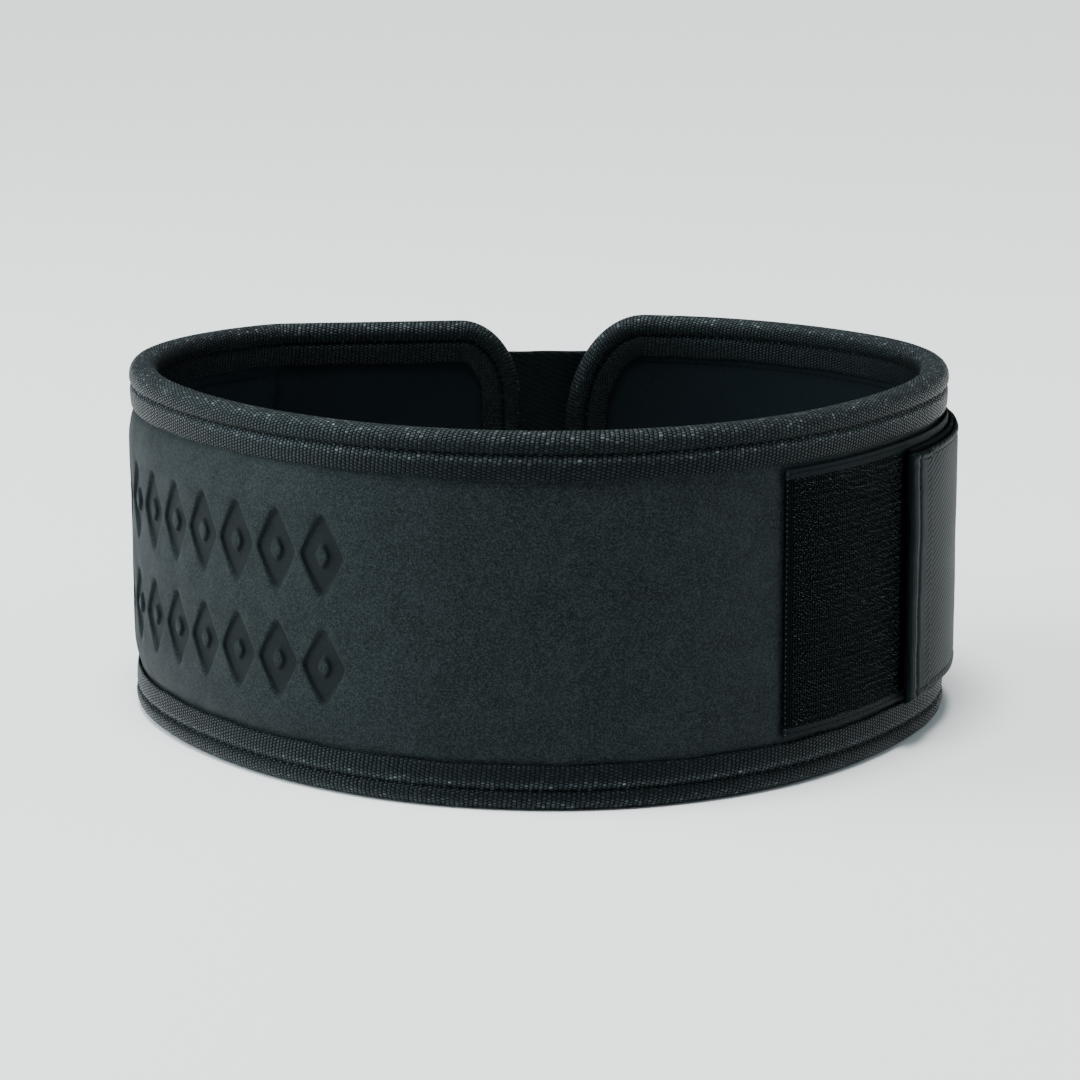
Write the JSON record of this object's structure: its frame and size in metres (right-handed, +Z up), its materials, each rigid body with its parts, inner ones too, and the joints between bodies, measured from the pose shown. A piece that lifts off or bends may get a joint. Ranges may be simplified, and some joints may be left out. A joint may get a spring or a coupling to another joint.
{
  "type": "weightlifting belt",
  "caption": "Wide padded leather waist belt for lifting, bound with woven tape and closed at the back by a webbing strap over hook tape.",
  "frame": {"origin": "middle of the belt's box, on the surface that its lower edge stands on", "axes": "+Z up along the belt's height, -Y towards the front panel, +X towards the side with the hook tape"},
  "size_m": [0.243, 0.2166, 0.102],
  "materials": {
    "leather": "matt, finely pebbled, very dark grey with a little blue-green",
    "lining_fabric": "matt brushed fabric, black",
    "binding_tape": "ribbed woven nylon tape, black",
    "hook_tape": "stiff nylon hooks in dense rows, black",
    "loop_tape": "soft looped pile, black",
    "webbing": "heavy twill woven nylon, black"
  },
  "bodies": {
    "root": {"leather_panel": "leather", "padded_lining": "lining_fabric", "edge_binding": "binding_tape", "hook_patch": "hook_tape", "loop_strip": "loop_tape", "webbing_strap": "webbing"}
  },
  "joints": []
}
